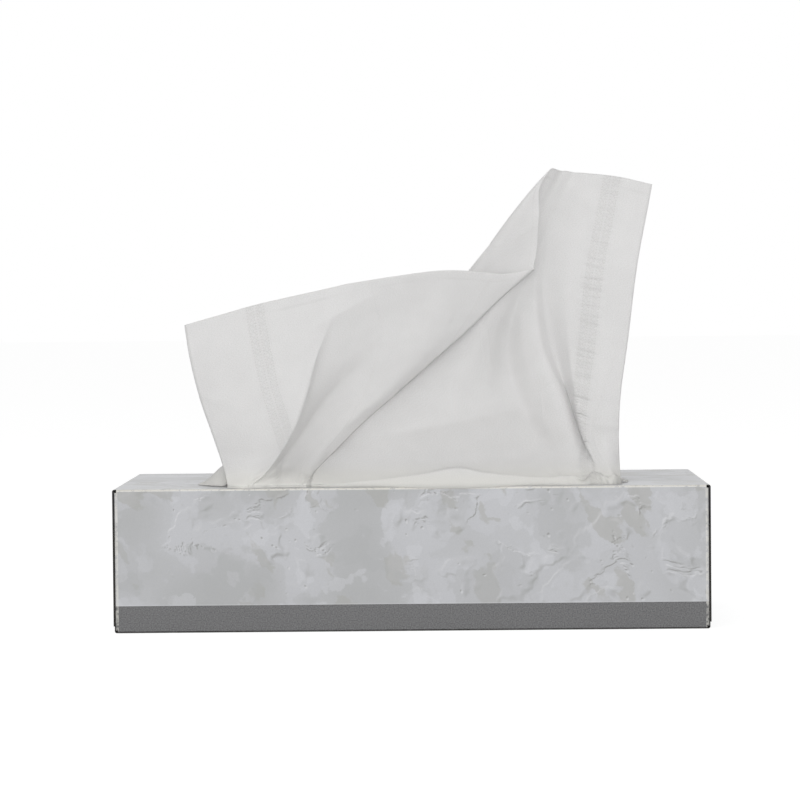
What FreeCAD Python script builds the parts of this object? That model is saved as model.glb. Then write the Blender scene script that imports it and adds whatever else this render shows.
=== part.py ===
"""A box of facial tissues, standing on its bottom panel, with one tissue raised through the slit.

Millimetres. The origin is at the middle of the bottom panel's underside, +X along the box and +Z up.
The front panel faces -Y. The carton is one folded and glued sheet of board, so its panels and
flaps are one solid. The raised tissue and the next one are thin solids with their folds.
"""

import FreeCAD, Part
import math
import os
from FreeCAD import Vector

# Carton: one sheet of coated board
CARTON_LENGTH = 229.0   # from end fold to end fold
CARTON_DEPTH = 114.0
CARTON_HEIGHT = 55.5
BOARD = 0.45            # thickness of the board
FOLD_RADIUS = 0.8       # outside radius of every fold
GLUE_FLAP = 14.0        # height of the seam flap inside the back panel
SEAM_GAP = 1.1          # the back panel's lower edge above the table
DUST_FLAP = 48.0        # how far a dust flap reaches across the end
DUST_CHAMFER = 9.0
DUST_CLEARANCE = 0.7    # between a dust flap and the panels above and below it
LOWER_FLAP = 40.0       # height of the end flap that folds up from the bottom
UPPER_FLAP_END = 2.6    # height at which the outer end flap stops
END_FLAP_INSET = 1.0    # the end flaps are this much narrower at each side

# Oval opening in the top panel, torn out along a perforation
OPENING_END = 33.0      # from each end of the carton
OPENING_SIDE = 29.0     # from the front and the back
NIB_WIDTH = 1.0         # board left between two perforations
NIB_REACH = 0.35
NIB_PITCH = 9.0

# Film glued under the top panel, with the slit that holds the raised tissue
FILM_BORDER = 14.0      # from the opening to the film's edge
FILM = 0.05
FILM_CORNER = 6.0
SLIT_END = 4.0          # from the slit to each end of the opening
SLIT_WIDTH = 4.6

# Folded stack of tissues, with the room around it in the carton
STACK_END_GAP = 3.05
STACK_SIDE_GAP = 4.55
STACK_HEADROOM = 10.05
STACK_GAP = 0.05        # between the stack and the bottom panel
STACK_BUNDLES = 11      # bands of folded edges that swell on the long sides
BUNDLE_SWELL = 0.5

# Loose tissues: the raised one and the next one
PLY = 0.4               # modelled thickness of a two-ply tissue
LAYER_GAP = 0.3         # air between two layers that lie on each other
INNER_FOLD = 2.0        # from the stack's side to the fold of a loose tissue
HAIRPIN = 3.0           # length of the two runs beside that fold
RAISED_TAIL = 30.0      # length of the raised tissue under its inner fold
RISE_START = 13.0       # where a tissue leaves the stack, from the middle
RISE_TURN = 4.0
RISE_LIFT = 0.5
GATHER = 5.0            # from a gathered tissue's edge to the slit's end
SLIT_SIDE = 0.9         # middle layer of each tissue from the middle of the slit
SLIT_RUN = 3.0          # how far down the gathers stay as tight as in the slit
SKIRT_LIFT = 1.1        # middle layer of the raised tissue's skirt above the top panel
SKIRT_CURL = 0.5        # how much it stands up where it leaves the slit
TUCK_LEAN = 0.4         # how far the tuck leans forward for each millimetre of height
NEXT_LIFT = 2.8         # where the next tissue starts to lean, above the top panel
SAME = 0.001            # points closer than this are one
PIECES_ACROSS = 2       # facets between two ribs
VISIBLE_ROWS = 13       # points of each rib above the top panel

# Sizes that follow
TOP = CARTON_HEIGHT
OPENING_LENGTH = CARTON_LENGTH - 2 * OPENING_END
OPENING_WIDTH = CARTON_DEPTH - 2 * OPENING_SIDE
FILM_LENGTH = OPENING_LENGTH + 2 * FILM_BORDER
FILM_WIDTH = OPENING_WIDTH + 2 * FILM_BORDER
SLIT_LENGTH = OPENING_LENGTH - 2 * SLIT_END
GATHERED_WIDTH = SLIT_LENGTH - 2 * GATHER
TISSUE_WIDTH = CARTON_LENGTH - 2 * (BOARD + STACK_END_GAP)
STACK_DEPTH = CARTON_DEPTH - 2 * (BOARD + STACK_SIDE_GAP)
STACK_TOP = TOP - BOARD - STACK_HEADROOM
STACK_HEIGHT = STACK_TOP - BOARD - STACK_GAP
LAYER = PLY + LAYER_GAP
FIRST_LAYER = STACK_TOP + LAYER / 2
INSIDE_FOLD = STACK_DEPTH / 2 - INNER_FOLD

# Ribs of the raised tissue, from its left edge to its right edge. Each runs from the top panel up
# to the free edge, along a fold, a hollow or a swell. True marks a sharp fold. Heights are above the
# top panel.
RAISED_RIBS = [
    ("left_edge", False, [(-71, -50, 1), (-73, -46, 8), (-78, -45, 22.5), (-82, -43, 34),
                          (-86, -41, 50.5), (-88, -38, 63)]),
    ("left_middle", False, [(-67.5, -53, 1), (-66.5, -49, 8.5), (-66, -49, 22.5), (-67.5, -46, 38),
                            (-70.5, -43, 53.5), (-73, -39, 67)]),
    ("left_bulge", False, [(-64.5, -54, 1), (-60, -51, 8.5), (-55.5, -51, 22.5), (-54, -49, 38),
                           (-55.5, -44, 55), (-58.5, -40, 71)]),
    ("left_crest", True, [(-61.5, -53, 1), (-56, -50, 6), (-46.5, -50, 20), (-41, -48, 34.5),
                          (-35.5, -43, 52), (-25, -39, 78.5)]),
    ("crest_back", False, [(-60, -52, 1), (-55, -47, 6), (-45.3, -42.5, 20), (-39.8, -41.5, 34.5),
                           (-33.5, -40.5, 52), (-20.5, -39.3, 79.2)]),
    ("left_valley", False, [(-50, -50, 1), (-49.5, -43, 6.5), (-42.5, -34.5, 20.5), (-31, -31.5, 37),
                            (-14, -34.5, 54.5), (12, -35.5, 83.5)]),
    ("valley_back", False, [(-45, -50, 1), (-44.5, -41, 8), (-34, -34, 21.5), (-20, -33, 36),
                            (-2, -35, 52.5), (27, -32.5, 83)]),
    ("front_swell", False, [(-42, -51, 1), (-39.5, -39, 7.5), (-27.5, -35, 21), (-13, -35, 33.5),
                            (8, -34, 53.5), (37.5, -29.8, 82)]),
    ("fold_two", True, [(-40.5, -51, 1), (-36.5, -35.5, 7), (-24, -31.5, 19.5), (-8, -31.5, 33.5),
                        (17, -30.5, 55.5), (48.5, -29, 84)]),
    ("flap_low", False, [(-40, -50, 1), (-36.3, -34.5, 7.5), (-24.2, -30.5, 20.5), (-7.3, -30.5, 37),
                         (17.2, -30, 60), (50.2, -28.5, 91)]),
    ("flap", False, [(-39.5, -49, 1), (-36, -33.5, 8), (-24.5, -30, 21.5), (-6, -30, 42),
                     (17.5, -29, 68), (51.2, -28, 105)]),
    ("flap_high", False, [(-39.2, -48, 1), (-35.4, -32, 9.5), (-25.3, -29.5, 22.4), (-4.8, -29, 47),
                          (20.5, -28, 76), (51.8, -27, 117)]),
    ("fold_one", True, [(-39, -47, 1), (-35, -31, 11), (-26, -28.5, 23), (-4, -27.5, 50.5),
                        (23, -26.5, 83.5), (56, -25, 123)]),
    ("back_left", False, [(-23, -50, 1), (-18.5, -33.5, 11), (-10.5, -29.3, 27), (7.5, -27.6, 52),
                          (31.5, -26.6, 86.5), (57, -24, 123.2)]),
    ("back_middle", False, [(3.5, -53, 1), (6.5, -33, 11), (10.5, -28.4, 28.5), (22.5, -28.2, 52),
                            (39.5, -27, 86.5), (58.6, -21.5, 122.8)]),
    ("back_crease", False, [(18.5, -53, 1), (19.5, -33, 11), (19.5, -27.4, 28.5), (27, -27.4, 52),
                            (41.8, -26.6, 86.5), (59.8, -19, 122.5)]),
    ("back_right", False, [(28.5, -53, 1), (28, -32, 11), (28, -25.5, 28.5), (31.5, -24.5, 52),
                           (44, -25.6, 86.5), (60.5, -18, 122.5)]),
    ("valley_two", False, [(54, -50, 1), (52, -28, 12), (43, -19, 31), (38, -18, 52),
                           (46.5, -23.5, 84), (62, -18, 122.5)]),
    ("ridge_side", False, [(60, -50, 1), (58.5, -30, 12.5), (51.5, -24, 31), (44.5, -22.5, 56),
                           (48.5, -22.5, 84), (63.5, -17.5, 122.3)]),
    ("ridge", False, [(66.5, -50, 1), (64.5, -31, 13), (58.5, -26, 33), (50.5, -24, 57),
                      (50, -22, 84), (65, -17, 122)]),
    ("right_valley", False, [(71.8, -46, 1), (68.2, -27, 15), (62.5, -21.5, 32), (56.5, -20, 52),
                             (53, -20, 82), (67.5, -18, 121.8)]),
    ("right_crest", True, [(75.5, -47, 1), (69.8, -33, 12.6), (66, -29.5, 30), (62.5, -27, 46),
                           (63, -23.5, 84), (74.5, -20, 121)]),
    ("right_bulge", False, [(78, -48, 1), (75.5, -35, 14.5), (74.5, -33, 32.5), (75, -31, 54),
                            (78.5, -28, 86), (84, -24, 119.5)]),
    ("right_edge", False, [(82, -42, 1), (81, -34, 12.5), (82, -33, 32), (85, -32, 53.5),
                           (89.5, -30, 86), (95.5, -27, 116.5)]),
]

# Low tuck in front of the raised tissue: (x, height) along the box
TUCK = [(-39, 0.0), (-20, 1.6), (0, 4.0), (18.5, 7.4), (33, 4.3), (48, 0.4), (54, 2.8), (60, 3.6),
        (66.5, 3.0), (71.8, 4.6), (75.5, 2.4), (78, 3.6), (82, 1.6)]

# Free edge of the next tissue, which stands behind the raised one. Heights are above the top panel.
NEXT_EDGE = [
    (-84, -31, 0.8), (-80, -36, 0.8), (-75.5, -38, 0.8), (-72.5, -37, 2.2), (-65, -14, 6),
    (-50, -11, 11.5), (-25, -13, 16), (8, -8, 22.5), (38, -11, 29), (50, -4, 25.5), (64, -8, 15.5),
    (76, -24, 3.6), (84.5, -31, 0.8),
]

# How far that sheet rises above the straight way there, at its two ends
NEXT_RISE = [(-84, 0.4), (-80, 3.4), (-75, 6.4), (-66, 1.0), (-58, 0), (66, 0), (78, 3.0), (84.5, 0.4)]


def plate(outline, direction):
    """A closed outline of points made into a face and pushed along direction."""
    return Part.Face(Part.makePolygon([*outline, outline[0]])).extrude(direction)


def block(x, y, z):
    """A box from the lowest to the highest value on each axis."""
    size = (x[1] - x[0], y[1] - y[0], z[1] - z[0])
    return Part.makeBox(*size, Vector(x[0], y[0], z[0]))


def rounded_path(corners, radii):
    """A closed wire through the corners, each rounded by its radius where that isn't 0."""
    edges = []
    count = len(corners)
    starts, ends = [], []
    for i, corner in enumerate(corners):
        before = (corners[i - 1] - corner).normalize()
        after = (corners[(i + 1) % count] - corner).normalize()
        starts.append(corner + before * radii[i])
        ends.append(corner + after * radii[i])
        if radii[i]:
            centre = corner + (before + after) * radii[i]
            middle = centre + (corner - centre).normalize() * radii[i]
            edges.append(Part.Arc(starts[i], middle, ends[i]).toShape())
    for i in range(count):
        edges.append(Part.LineSegment(ends[i], starts[(i + 1) % count]).toShape())
    return Part.Wire(Part.__sortEdges__(edges))


def stadium(length, width, z):
    """A wire with straight sides and round ends, lying at height z."""
    half, radius = length / 2 - width / 2, width / 2
    sides = [
        Part.LineSegment(Vector(-half, -radius, z), Vector(half, -radius, z)),
        Part.Arc(Vector(half, -radius, z), Vector(half + radius, 0, z), Vector(half, radius, z)),
        Part.LineSegment(Vector(half, radius, z), Vector(-half, radius, z)),
        Part.Arc(Vector(-half, radius, z), Vector(-half - radius, 0, z), Vector(-half, -radius, z)),
    ]
    return Part.Wire([side.toShape() for side in sides])


def fold(centre, axis, start, width):
    """A quarter turn of board about an axis through centre, from the direction start."""
    inner = FOLD_RADIUS - BOARD
    at = [centre + start * inner, centre + start * FOLD_RADIUS]
    push = axis * width
    strip = Part.Face(Part.makePolygon([at[0], at[1], at[1] + push, at[0] + push, at[0]]))
    return strip.revolve(centre, axis, 90)


def carton_tube():
    """Front, top, back and bottom panels with the seam flap, as one closed section."""
    half, inner_radius = CARTON_DEPTH / 2, FOLD_RADIUS - BOARD
    x = -(CARTON_LENGTH / 2 - FOLD_RADIUS)

    def at(y, z):
        return Vector(x, y, z)

    low, high = BOARD, TOP - BOARD
    seam = half - BOARD
    outer = rounded_path(
        [at(half, SEAM_GAP), at(half, TOP), at(-half, TOP), at(-half, 0), at(seam, 0),
         at(seam, SEAM_GAP)],
        [0, FOLD_RADIUS, FOLD_RADIUS, FOLD_RADIUS, FOLD_RADIUS, 0],
    )
    inner = rounded_path(
        [at(seam, GLUE_FLAP), at(seam, high), at(-half + BOARD, high), at(-half + BOARD, low),
         at(seam - BOARD, low), at(seam - BOARD, GLUE_FLAP)],
        [0, inner_radius, inner_radius, inner_radius, inner_radius, 0],
    )
    section = Part.Face(outer).cut(Part.Face(inner))
    return section.extrude(Vector(-2 * x, 0, 0))


def dust_flap(side):
    """The flap that folds in from the front panel (side -1) or the back panel (side 1)."""
    face = side * CARTON_DEPTH / 2
    low, high = BOARD + DUST_CLEARANCE, TOP - BOARD - DUST_CLEARANCE
    x = CARTON_LENGTH / 2
    start = face - side * FOLD_RADIUS
    tip = face - side * DUST_FLAP
    shoulder = tip + side * DUST_CHAMFER
    outline = [(start, low), (shoulder, low), (tip, low + DUST_CHAMFER), (tip, high - DUST_CHAMFER),
               (shoulder, high), (start, high)]
    leaf = plate([Vector(x - BOARD, y, z) for y, z in outline], Vector(BOARD, 0, 0))
    corner = Vector(x - FOLD_RADIUS, start, low if side < 0 else high)
    turn = fold(corner, Vector(0, 0, -side), Vector(0, side, 0), high - low)
    return leaf.fuse(turn)


def major_flap(top):
    """The end flap that folds down from the top panel, or up from the bottom panel."""
    layers = 2 if top else 1
    face = CARTON_LENGTH / 2 + layers * BOARD
    back = CARTON_DEPTH / 2 - END_FLAP_INSET - (0 if top else BOARD)
    front = -CARTON_DEPTH / 2 + END_FLAP_INSET
    level = TOP - BOARD if top else 0
    run = block((CARTON_LENGTH / 2 - FOLD_RADIUS, face - FOLD_RADIUS), (front, back),
                (level, level + BOARD))
    up = 1 if top else -1
    corner_z = TOP - FOLD_RADIUS if top else FOLD_RADIUS
    corner = Vector(face - FOLD_RADIUS, front if top else back, corner_z)
    turn = fold(corner, Vector(0, up, 0), Vector(0, 0, up), back - front)
    span = (UPPER_FLAP_END, corner_z) if top else (corner_z, LOWER_FLAP)
    leaf = block((face - BOARD, face), (front, back), span)
    return run.fuse([turn, leaf])


def opening_nibs(height):
    """Small bits of board left on the opening's rim, where the perforation tore."""
    rim = stadium(OPENING_LENGTH, OPENING_WIDTH, height)
    count = int(rim.Length / NIB_PITCH)
    nibs = []
    for edge_point in rim.discretize(Number=count + 1)[:-1]:
        half = OPENING_LENGTH / 2 - OPENING_WIDTH / 2
        centre = Vector(max(-half, min(half, edge_point.x)), 0, height)
        outward = (edge_point - centre).normalize()
        nib = block((-NIB_WIDTH / 2, NIB_WIDTH / 2), (-NIB_REACH, NIB_REACH), (0, BOARD))
        nib.rotate(Vector(0, 0, 0), Vector(0, 0, 1), math.degrees(math.atan2(-outward.x, outward.y)))
        nib.translate(edge_point)
        nibs.append(nib)
    return nibs


def carton():
    """The whole folded and glued carton."""
    ends = []
    for flap in (dust_flap(-1), dust_flap(1), major_flap(False), major_flap(True)):
        ends += [flap, flap.mirror(Vector(0, 0, 0), Vector(1, 0, 0))]
    body = carton_tube().fuse(ends)
    hole = Part.Face(stadium(OPENING_LENGTH, OPENING_WIDTH, TOP - 2 * BOARD))
    body = body.cut(hole.extrude(Vector(0, 0, 3 * BOARD)))
    return body.fuse(opening_nibs(TOP - BOARD)).removeSplitter()


def window_film():
    """The film under the opening, with its slit opened by the tissues."""
    level = TOP - BOARD - FILM
    x, y = FILM_LENGTH / 2, FILM_WIDTH / 2
    corners = [Vector(-x, -y, level), Vector(x, -y, level), Vector(x, y, level), Vector(-x, y, level)]
    sheet = Part.Face(rounded_path(corners, [FILM_CORNER] * 4))
    slit = Part.Face(stadium(SLIT_LENGTH, SLIT_WIDTH, level))
    return sheet.cut(slit).extrude(Vector(0, 0, FILM))


def tissue_stack():
    """The folded tissues still in the carton. The long sides swell between pressed bands."""
    x, y = -TISSUE_WIDTH / 2, STACK_DEPTH / 2
    low = BOARD + STACK_GAP
    step = STACK_HEIGHT / STACK_BUNDLES
    edges = []
    for side in (-1, 1):
        for i in range(STACK_BUNDLES):
            z = low + i * step
            edges.append(Part.Arc(Vector(x, side * y, z), Vector(x, side * (y + BUNDLE_SWELL), z + step / 2),
                                  Vector(x, side * y, z + step)).toShape())
    for z in (low, low + STACK_HEIGHT):
        edges.append(Part.LineSegment(Vector(x, -y, z), Vector(x, y, z)).toShape())
    section = Part.Face(Part.Wire(Part.__sortEdges__(edges)))
    return section.extrude(Vector(TISSUE_WIDTH, 0, 0))


def between(points, x):
    """The second value at x on a line of (x, value) points, level past its ends."""
    if x <= points[0][0]:
        return points[0][1]
    for (x0, v0), (x1, v1) in zip(points, points[1:]):
        if x <= x1:
            return v0 + (v1 - v0) * (x - x0) / (x1 - x0)
    return points[-1][1]


def shares(points):
    """How far along the line each point lies, from 0 to 1."""
    total, found = 0.0, [0.0]
    for a, b in zip(points, points[1:]):
        total += (b - a).Length
        found.append(total)
    return [value / total for value in found]


def bend(a, b, c, d, share):
    """A point on the soft curve from b to c that comes from a and goes on to d."""
    knots = [0.0]
    for p, q in ((a, b), (b, c), (c, d)):
        knots.append(knots[-1] + math.sqrt(max((q - p).Length, SAME)))
    t = knots[1] + share * (knots[2] - knots[1])

    def mix(p, q, first, last):
        weight = (t - knots[first]) / (knots[last] - knots[first])
        return p * (1 - weight) + q * weight

    middle = mix(b, c, 1, 2)
    return mix(mix(mix(a, b, 0, 1), middle, 0, 2), mix(middle, mix(c, d, 2, 3), 1, 3), 1, 2)


def soft_line(points, sharp, pieces):
    """The points again with more between them, on a curve that breaks at the sharp ones."""
    made = []
    for i, (b, c) in enumerate(zip(points, points[1:])):
        a = b * 2 - c if i == 0 or sharp[i] else points[i - 1]
        d = c * 2 - b if i + 2 == len(points) or sharp[i + 1] else points[i + 2]
        made += [bend(a, b, c, d, k / pieces) for k in range(pieces)]
    return made + [points[-1]]


def thick_sheet(columns, sharp):
    """A closed solid, one ply thick, around a grid of points that is made finer across."""
    rows = [soft_line(row, sharp, PIECES_ACROSS) for row in zip(*columns)]
    last_row, last = len(rows) - 1, len(rows[0]) - 1

    def normal(j, i):
        across = rows[j][min(i + 1, last)] - rows[j][max(i - 1, 0)]
        along = rows[min(j + 1, last_row)][i] - rows[max(j - 1, 0)][i]
        return across.cross(along).normalize()

    points = []
    for side in (PLY / 2, -PLY / 2):
        points += [rows[j][i] + normal(j, i) * side for j in range(last_row + 1) for i in range(last + 1)]
    other_side = len(points) // 2

    def index(j, i):
        return j * (last + 1) + i

    triangles = []
    for j in range(last_row):
        for i in range(last):
            corners = (index(j, i), index(j, i + 1), index(j + 1, i + 1), index(j + 1, i))
            triangles += halves(corners)
            triangles += halves([k + other_side for k in reversed(corners)])
    rim = [index(0, i) for i in range(last)] + [index(j, last) for j in range(last_row)]
    rim += [index(last_row, i) for i in range(last, 0, -1)] + [index(j, 0) for j in range(last_row, 0, -1)]
    for a, b in zip(rim, rim[1:] + rim[:1]):
        triangles += halves((b, a, a + other_side, b + other_side))
    skin = Part.Shape()
    skin.makeShapeFromMesh((points, triangles), SAME)
    solid = Part.Solid(Part.Shell(skin.Faces))
    if solid.Volume < 0:
        solid.reverse()
    return solid


def halves(corners):
    """Two triangles that fill the four corners."""
    a, b, c, d = corners
    return [(a, b, c), (a, c, d)]


def rib_points(points):
    """A rib above the top panel, divided evenly along a smooth curve."""
    curve = Part.BSplineCurve()
    curve.interpolate([Vector(x, y, TOP + height) for x, y, height in points])
    return curve.toShape().discretize(Number=VISIBLE_ROWS)


def inside_run(share, side, lower, tail_end):
    """One line of a tissue in the carton: its end, its hairpin, its upper layer and the slit."""
    upper = lower + LAYER
    flat_x = TISSUE_WIDTH * (share - 0.5)
    slit_x = GATHERED_WIDTH * (share - 0.5)
    flat = [(tail_end, lower), (INSIDE_FOLD - HAIRPIN, lower), (INSIDE_FOLD, lower), (INSIDE_FOLD, upper),
            (INSIDE_FOLD - HAIRPIN, upper), (RISE_START, upper)]
    points = [Vector(flat_x, side * y, z) for y, z in flat]
    points.append(Vector((flat_x + slit_x) / 2, side * RISE_TURN, upper + RISE_LIFT))
    points += [Vector(slit_x, side * SLIT_SIDE, z) for z in (TOP - SLIT_RUN, TOP)]
    return points


def skirt_run(slit, base):
    """One line of the raised tissue from the slit forward over the panel, then up at its base."""
    level = TOP + SKIRT_LIFT
    tuck = between(TUCK, base.x)
    front = base.y - tuck * TUCK_LEAN
    run = [Vector(slit.x, slit.y - SKIRT_CURL, level + SKIRT_CURL)]
    run += [Vector(slit.x + (base.x - slit.x) * part, base.y * part, level) for part in (1 / 3, 2 / 3)]
    run.append(Vector(base.x, front, level))
    run.append(Vector(base.x, front + tuck / 4, level + tuck + SKIRT_CURL))
    run.append(Vector(base.x, front + tuck / 2, level + tuck / 5 + 2 * SKIRT_CURL))
    return run


def raised_tissue():
    """The tissue that stands in the slit, with its Z-fold, its skirt and the half still inside."""
    ribs = [rib_points(points) for name, sharp, points in RAISED_RIBS]
    columns = []
    for share, rib in zip(shares([rib[1] for rib in ribs]), ribs):
        inside = inside_run(share, -1, FIRST_LAYER + LAYER, INSIDE_FOLD - RAISED_TAIL)
        columns.append(inside + skirt_run(inside[-1], rib[0]) + rib[1:])
    return thick_sheet(columns, [sharp for name, sharp, points in RAISED_RIBS])


def next_tissue():
    """The tissue behind, whose free edge has come up through the slit with the raised one."""
    edge = [Vector(x, y, TOP + height) for x, y, height in NEXT_EDGE]
    columns = []
    for share, tip in zip(shares(edge), edge):
        inside = inside_run(share, 1, FIRST_LAYER, -INSIDE_FOLD)
        start = Vector(inside[-1].x, inside[-1].y, TOP + NEXT_LIFT)
        way = [start + (tip - start) * part for part in (0, 1 / 3, 2 / 3, 1)]
        rise = between(NEXT_RISE, tip.x)
        way[1].z += rise * 0.75
        way[2].z += rise
        columns.append(inside + way)
    return thick_sheet(columns, [False] * len(columns))


def main():
    """Writes one STEP file for each piece."""
    os.makedirs("parts", exist_ok=True)
    pieces = {
        "carton": carton(),
        "window_film": window_film(),
        "tissue_stack": tissue_stack(),
        "raised_tissue": raised_tissue(),
        "next_tissue": next_tissue(),
    }
    for name, shape in pieces.items():
        shape.exportStep(f"parts/{name}.step")
        print(name, shape.isValid(), len(shape.Solids), "solid(s)", round(shape.Volume, 1), "mm3",
              [round(v, 1) for v in (shape.BoundBox.XMin, shape.BoundBox.XMax, shape.BoundBox.YMin,
                                     shape.BoundBox.YMax, shape.BoundBox.ZMin, shape.BoundBox.ZMax)])


main()
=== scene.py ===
"""The finish of a box of facial tissues: printed board, clear film, the stack and the loose tissues.

Blender works in metres. The tissues are laid out in millimetres, in the carton's own frame: the
origin is at the middle of the bottom panel's underside, +X along the box, the front faces -Y.
"""

import math

import bpy
import numpy as np
from mathutils import Matrix, Vector


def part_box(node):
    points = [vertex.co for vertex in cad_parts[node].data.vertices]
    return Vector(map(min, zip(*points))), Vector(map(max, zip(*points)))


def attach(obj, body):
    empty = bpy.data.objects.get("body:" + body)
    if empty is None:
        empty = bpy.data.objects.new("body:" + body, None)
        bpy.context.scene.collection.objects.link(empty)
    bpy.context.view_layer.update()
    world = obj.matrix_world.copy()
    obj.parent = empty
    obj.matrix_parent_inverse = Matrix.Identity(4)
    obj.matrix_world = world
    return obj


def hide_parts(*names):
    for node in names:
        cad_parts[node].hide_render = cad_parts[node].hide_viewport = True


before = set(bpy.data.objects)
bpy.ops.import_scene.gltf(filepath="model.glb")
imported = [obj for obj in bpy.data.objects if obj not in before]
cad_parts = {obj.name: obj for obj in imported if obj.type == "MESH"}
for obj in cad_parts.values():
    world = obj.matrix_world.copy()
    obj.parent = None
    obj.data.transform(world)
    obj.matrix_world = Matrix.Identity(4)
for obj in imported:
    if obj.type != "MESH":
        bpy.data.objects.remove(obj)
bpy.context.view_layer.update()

MM = 0.001

# Sizes read from the frame, in millimetres. TOP is the top panel's upper side.
carton_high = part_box("carton")[1] / MM
stack_low, stack_high = (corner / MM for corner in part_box("tissue_stack"))
TOP = carton_high.z
HALF_LENGTH = carton_high.x
HALF_DEPTH = carton_high.y
STACK_TOP = stack_high.z
STACK_HALF_DEPTH = stack_high.y
TISSUE_WIDTH = stack_high.x - stack_low.x

# The carton's board and print
BAND_TOP = 10.5          # upper edge of the dark band above the table
END_FLAP_SIDE = 56.0     # side edges of the outer end flap, from the middle
END_FLAP_FACE = 114.9    # the lower end flap's outside, from the middle
OPENING_HALF = (84.0, 30.0)     # the opening's raw edge lies within this, from the middle

# Camera that sees the carton as the photograph does, fitted to the carton's corners
CAMERA_PLACE = (13.86, -1347.48, 130.84)
CAMERA_TURN = (-0.788, 1.848, -0.552)     # yaw, pitch and roll in degrees
CAMERA_LENS = 151.0

# Lights, in metres and watts: (name, place, size, power), all turned to LAMP_AIM
LAMPS = [
    ("front", (-0.1, -2.4, 0.4), 1.8, 23.0),
    ("key", (-0.5, -0.7, 1.8), 1.2, 9.0),
    ("fill", (1.3, -1.3, 0.8), 1.2, 3.0),
]
LAMP_AIM = (0, 0, 0.08)
WORLD_LEVEL = 0.5

# The stack
STACK_LAYER = 0.9        # from one folded tissue to the next
STACK_CROWN = 0.4        # how far its top tissue has settled
STACK_BULGE = 0.45       # how far the fold of each tissue bulges at the side

# Loose tissues
PLY = 0.26               # thickness of the two plies together
LAYER = 0.7              # from one resting layer to the next
INNER_FOLD = STACK_HALF_DEPTH - 2.5     # the fold of a loose tissue in the carton, from the middle
HAIRPIN = 3.0            # from that fold to where the two layers run level
RAISED_TAIL = 30.0       # how far the raised tissue's lower layer runs back from the fold
RISE_START = 13.0        # where the upper layer starts to rise to the slit
RISE_TURN = 4.0          # and where it has turned upward
RISE_LIFT = 0.5
GATHERED_WIDTH = 145.0   # of a tissue pinched in the slit
SLIT_SIDE = 0.9          # from the slit's middle to the tissue on each side
SLIT_RUN = 3.0           # how far down the tissue stands straight below the slit
SKIRT_LIFT = 1.1         # of the raised tissue above the panel, from the slit to the front
SKIRT_CURL = 0.5
SKIRT_REST = 0.16        # where the skirt's front lies on the panel
SKIRT_SPREAD = 2.5       # how far it spreads forward there
NEXT_LIFT = 2.8          # where the next tissue turns away from the slit, above the panel
NEXT_SWING = 0.15        # how much sooner its ends reach forward than an even run does
CLOSE_BEHIND = 0.9       # from the raised tissue to the next one
GRID_STEP = 1.25         # about the size of a mesh cell
SAME = 0.001             # a gap that counts as none

# The front view in squares, to find how far back the raised tissue reaches in each. They start at
# the panel's height, and as many lie left of the middle as right of it.
SQUARE = 2.0
SQUARES_ACROSS = 140
SQUARES_UP = 80

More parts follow.
